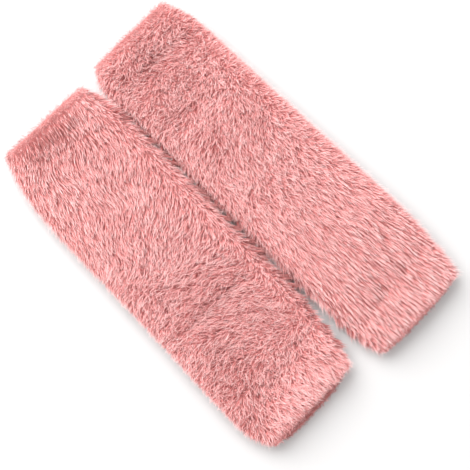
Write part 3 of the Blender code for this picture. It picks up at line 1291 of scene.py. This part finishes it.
@dataclass
class Studio:
    """The white surface, the soft lights and the camera."""

    azimuth: float = 45.85
    elevation: float = 77.0
    distance: float = 0.81
    target: tuple[float, float, float] = (0.0135, -0.001, 0.0)
    lens: float = 85.0
    floor_size: float = 3.0
    floor_colour: tuple[float, float, float] = (0.507, 0.502, 0.502)
    floor_roughness: float = 0.9
    floor_shine: float = 0.1
    key_place: tuple[float, float, float] = (-0.95, -0.04, 1.05)
    key_size: float = 1.5
    key_power: float = 41.0
    fill_place: tuple[float, float, float] = (0.8, -0.7, 1.3)
    fill_size: float = 1.6
    fill_power: float = 6.0
    room_colour: tuple[float, float, float] = (1.0, 0.995, 0.99)
    room_strength: float = 1.02

    def build(self) -> None:
        """Builds the whole stage."""
        self.surface()
        self.lights()
        self.camera()

    def surface(self) -> None:
        """The white surface that the pads lie on."""
        shape = bmesh.new()
        bmesh.ops.create_grid(shape, x_segments=1, y_segments=1, size=self.floor_size)
        mesh = bpy.data.meshes.new("floor")
        shape.to_mesh(mesh)
        shape.free()
        floor = bpy.data.objects.new("floor", mesh)
        material, nodes, _ = start_material("white_paper")
        shader = nodes["Principled BSDF"]
        shader.inputs["Base Color"].default_value = (*self.floor_colour, 1.0)
        shader.inputs["Roughness"].default_value = self.floor_roughness
        shader.inputs["Specular IOR Level"].default_value = self.floor_shine
        mesh.materials.append(material)
        bpy.context.scene.collection.objects.link(floor)

    def lights(self) -> None:
        """A broad key from the ankle ends, a weak fill from the other side and a bright room."""
        self.area("key", self.key_place, self.key_size, self.key_power)
        self.area("fill", self.fill_place, self.fill_size, self.fill_power)
        world = bpy.data.worlds.new("studio")
        world.use_nodes = True
        background = world.node_tree.nodes["Background"]
        background.inputs["Color"].default_value = (*self.room_colour, 1.0)
        background.inputs["Strength"].default_value = self.room_strength
        bpy.context.scene.world = world

    @staticmethod
    def area(name: str, place: tuple[float, float, float], size: float, power: float) -> None:
        """A square area light that faces the pads."""
        data = bpy.data.lights.new(name, "AREA")
        data.size = size
        data.energy = power
        light = bpy.data.objects.new(name, data)
        light.location = place
        light.rotation_euler = (-Vector(place)).to_track_quat("-Z", "Y").to_euler()
        bpy.context.scene.collection.objects.link(light)

    def camera(self) -> None:
        """The camera, nearly straight above and turned so that the pads run to the lower right."""
        a, e = math.radians(self.azimuth), math.radians(self.elevation)
        back = Vector((math.sin(a) * math.cos(e), -math.cos(a) * math.cos(e), math.sin(e)))
        data = bpy.data.cameras.new("camera")
        data.lens = self.lens
        data.sensor_width = 36.0
        data.clip_start = 0.01
        camera = bpy.data.objects.new("camera", data)
        camera.location = Vector(self.target) + back * self.distance
        camera.rotation_euler = back.to_track_quat("Z", "Y").to_euler()
        bpy.context.scene.collection.objects.link(camera)
        bpy.context.scene.camera = camera
        bpy.context.scene.view_settings.view_transform = "Standard"


LEFT_PAD = PadForm(
    side="left",
    place=(-0.389, -48.012),
    heading_degrees=-0.85,
    ankle_seam=-124.0,
    thigh_seam=108.0,
    sections=(
        # station, half_width, drift, height, hollow_height, slant
        Section(-140.0, 42.4, 1.1, 16.5, 6.0, -0.03),
        Section(-126.0, 44.7, 1.6, 18.0, 6.2, 0.12),
        Section(-108.0, 48.0, 0.6, 20.8, 6.6, 0.08),
        Section(-80.0, 49.4, -0.1, 22.6, 6.8, 0.02),
        Section(-20.0, 49.3, 0.1, 23.0, 6.8, 0.00),
        Section(40.0, 49.2, 0.4, 22.4, 6.8, -0.04),
        Section(80.0, 49.4, 0.0, 20.6, 6.6, -0.14),
        Section(108.0, 48.7, -0.3, 18.2, 6.2, -0.25),
        Section(122.0, 46.7, 0.0, 18.8, 6.0, -0.16),
        Section(139.5, 41.6, 0.0, 17.0, 6.0, -0.05),
    ),
    folds=(
        # station, across, half_length, half_width, depth, slant
        Fold(-128.0, 0.0, 46.0, 8.5, 2.6, 0.13),
        Fold(-129.0, -10.0, 20.0, 8.0, 1.0, 0.10),
        Fold(45.5, -2.0, 38.0, 5.5, 1.5, 0.02),
        Fold(28.0, -26.0, 16.0, 8.0, 0.8, -0.35),
        Fold(82.0, -18.0, 22.0, 10.0, 0.9, -0.20),
        Fold(108.0, 0.0, 60.0, 6.5, 2.2, -0.25),
        Fold(124.5, 29.0, 8.0, 6.5, 1.3, 0.00),
        Fold(126.5, -31.0, 7.0, 6.0, 1.3, 0.00),
        Fold(-58.0, 12.0, 26.0, 8.0, 0.7, 0.25),
    ),
    strokes=(
        # station, heading_low, heading_middle, heading_high, ruffle_low, ruffle_high
        Stroke(-140.0, -14.0, -16.0, -12.0, 0.05, 0.07),
        Stroke(-118.0, -10.0, -16.0, -22.0, 0.08, 0.10),
        Stroke(-95.0, -8.0, -14.0, -30.0, 0.08, 0.15),
        Stroke(-70.0, -12.0, -20.0, -42.0, 0.12, 0.18),
        Stroke(-45.0, -20.0, -34.0, -42.0, 0.22, 0.18),
        Stroke(-20.0, -28.0, -45.0, -55.0, 0.55, 0.25),
        Stroke(0.0, -48.0, -62.0, -66.0, 0.75, 0.35),
        Stroke(20.0, -70.0, -94.0, -95.0, 0.80, 0.45),
        Stroke(40.0, -84.0, -110.0, -114.0, 0.75, 0.45),
        Stroke(62.0, -80.0, -108.0, -114.0, 0.70, 0.45),
        Stroke(82.0, -70.0, -122.0, -130.0, 0.90, 0.75),
        Stroke(102.0, -50.0, -80.0, -70.0, 1.00, 0.95),
        Stroke(112.0, -30.0, -10.0, 5.0, 0.75, 0.60),
        Stroke(124.0, -22.0, 8.0, 18.0, 0.60, 0.30),
        Stroke(142.0, -14.0, 12.0, 10.0, 0.45, 0.15),
    ),
    # Partings: where the pile stands open; their depth also darkens it as painted shade, a
    # negative one lightens it as painted light.
    partings_and_painted_shade=(
        # station, across, half_length, half_width, depth, slant
        Fold(-134.0, -6.0, 26.0, 9.5, 1.15, 0.00),
        Fold(40.5, -8.0, 34.0, 3.2, 0.45, 0.02),
        Fold(48.0, 6.0, 32.0, 3.5, -0.30, 0.02),
        Fold(84.0, -26.0, 20.0, 24.0, 0.15, -0.20),
        Fold(88.0, 16.0, 26.0, 24.0, -0.25, -0.20),
        Fold(122.0, 32.0, 9.0, 6.0, 0.45, 0.00),
        Fold(119.0, -33.0, 8.0, 6.0, 0.35, 0.00),
        Fold(125.0, 0.0, 34.0, 10.0, -0.40, -0.10),
    ),
    facing=1.0,
    thigh_lean=2.2,
    # Painted shade on the thigh lip's lower half.
    thigh_lip_painted_shade=0.10,
    outer_inset=0.14,
    side_rise=44.0,
    # Painted light beside the gap.
    gap_painted_light=0.17,
    seed=4100,
)

RIGHT_PAD = PadForm(
    side="right",
    place=(1.311, 51.288),
    heading_degrees=0.85,
    ankle_seam=-121.0,
    thigh_seam=117.0,
    sections=(
        # station, half_width, drift, height, hollow_height, slant
        Section(-148.0, 40.0, -1.3, 16.5, 6.0, -0.03),
        Section(-134.0, 44.2, -0.7, 17.8, 6.0, 0.01),
        Section(-121.0, 45.7, -0.6, 18.4, 6.2, 0.05),
        Section(-104.0, 45.8, -0.6, 20.8, 6.6, 0.03),
        Section(-70.0, 45.8, -0.8, 22.2, 6.8, 0.00),
        Section(0.0, 46.4, -0.6, 22.6, 6.8, 0.00),
        Section(60.0, 46.9, -0.3, 22.0, 6.8, -0.02),
        Section(100.0, 46.4, -0.3, 20.0, 6.4, -0.04),
        Section(117.0, 45.5, -0.9, 18.8, 6.2, -0.06),
        Section(132.0, 44.2, -1.2, 19.0, 6.0, -0.04),
        Section(145.5, 41.2, -1.2, 17.0, 6.0, -0.02),
    ),
    folds=(
        # station, across, half_length, half_width, depth, slant
        Fold(-124.0, -4.0, 42.0, 8.5, 2.6, 0.04),
        Fold(-116.0, -27.0, 14.0, 8.0, 1.2, -0.30),
        Fold(-115.0, 24.0, 16.0, 8.0, 1.2, 0.25),
        Fold(-72.0, -12.0, 22.0, 7.0, 1.0, 0.10),
        Fold(-32.0, 2.0, 28.0, 8.0, 0.9, 0.15),
        Fold(24.0, -20.0, 20.0, 8.0, 0.9, -0.10),
        Fold(97.0, 22.0, 18.0, 7.0, 1.1, 0.10),
        Fold(117.0, 0.0, 60.0, 6.5, 1.9, -0.06),
    ),
    strokes=(
        # station, heading_low, heading_middle, heading_high, ruffle_low, ruffle_high
        Stroke(-150.0, -44.0, -76.0, -84.0, 0.70, 0.70),
        Stroke(-120.0, -58.0, -82.0, -100.0, 0.70, 0.85),
        Stroke(-100.0, -56.0, -62.0, -80.0, 0.75, 1.00),
        Stroke(-80.0, -68.0, -66.0, -42.0, 0.65, 0.75),
        Stroke(-60.0, -60.0, -54.0, -44.0, 0.55, 0.55),
        Stroke(-40.0, -42.0, -48.0, -36.0, 0.50, 0.50),
        Stroke(-20.0, -22.0, -32.0, -14.0, 0.45, 0.40),
        Stroke(0.0, -18.0, -24.0, -3.0, 0.52, 0.50),
        Stroke(20.0, -14.0, -9.0, 5.0, 0.42, 0.40),
        Stroke(40.0, -9.0, -4.0, 7.0, 0.25, 0.20),
        Stroke(80.0, -5.0, 0.0, 3.0, 0.05, 0.06),
        Stroke(120.0, -3.0, 1.0, 5.0, 0.04, 0.05),
        Stroke(150.0, -5.0, 2.0, 7.0, 0.04, 0.05),
    ),
    # Partings: where the pile stands open; their depth also darkens it as painted shade, a
    # negative one lightens it as painted light.
    partings_and_painted_shade=(
        # station, across, half_length, half_width, depth, slant
        Fold(-125.0, -6.0, 28.0, 9.0, 0.45, 0.05),
        Fold(-116.0, 26.0, 10.0, 5.0, 0.25, 0.10),
        Fold(-98.0, 24.0, 12.0, 22.0, -0.30, 0.00),
        Fold(-82.0, -22.0, 14.0, 7.0, 0.25, 0.30),
        Fold(-42.0, -16.0, 14.0, 7.0, 0.20, 0.30),
        Fold(-66.0, 0.0, 26.0, 8.0, -0.20, 0.10),
        Fold(130.0, 4.0, 40.0, 9.0, -0.45, 0.00),
    ),
    facing=-1.0,
    thigh_lean=0.8,
    # Painted shade on the thigh lip's lower half.
    thigh_lip_painted_shade=0.0,
    outer_inset=0.0,
    side_rise=62.0,
    # Painted light beside the gap.
    gap_painted_light=0.08,
    seed=5200,
)


def main() -> None:
    """Builds the pair and the stage."""
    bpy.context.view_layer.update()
    pile = PlushFinish()
    pile_material, backing_material = pile.build(), BackingFinish().build()
    for form in (LEFT_PAD, RIGHT_PAD):
        KneePad(form, backing_material, pile_material, pile.tones).build()
        log.info("%s pad built", form.side)
    Studio().build()


if __name__ == "__main__":
    logging.basicConfig(level=logging.INFO)
    main()
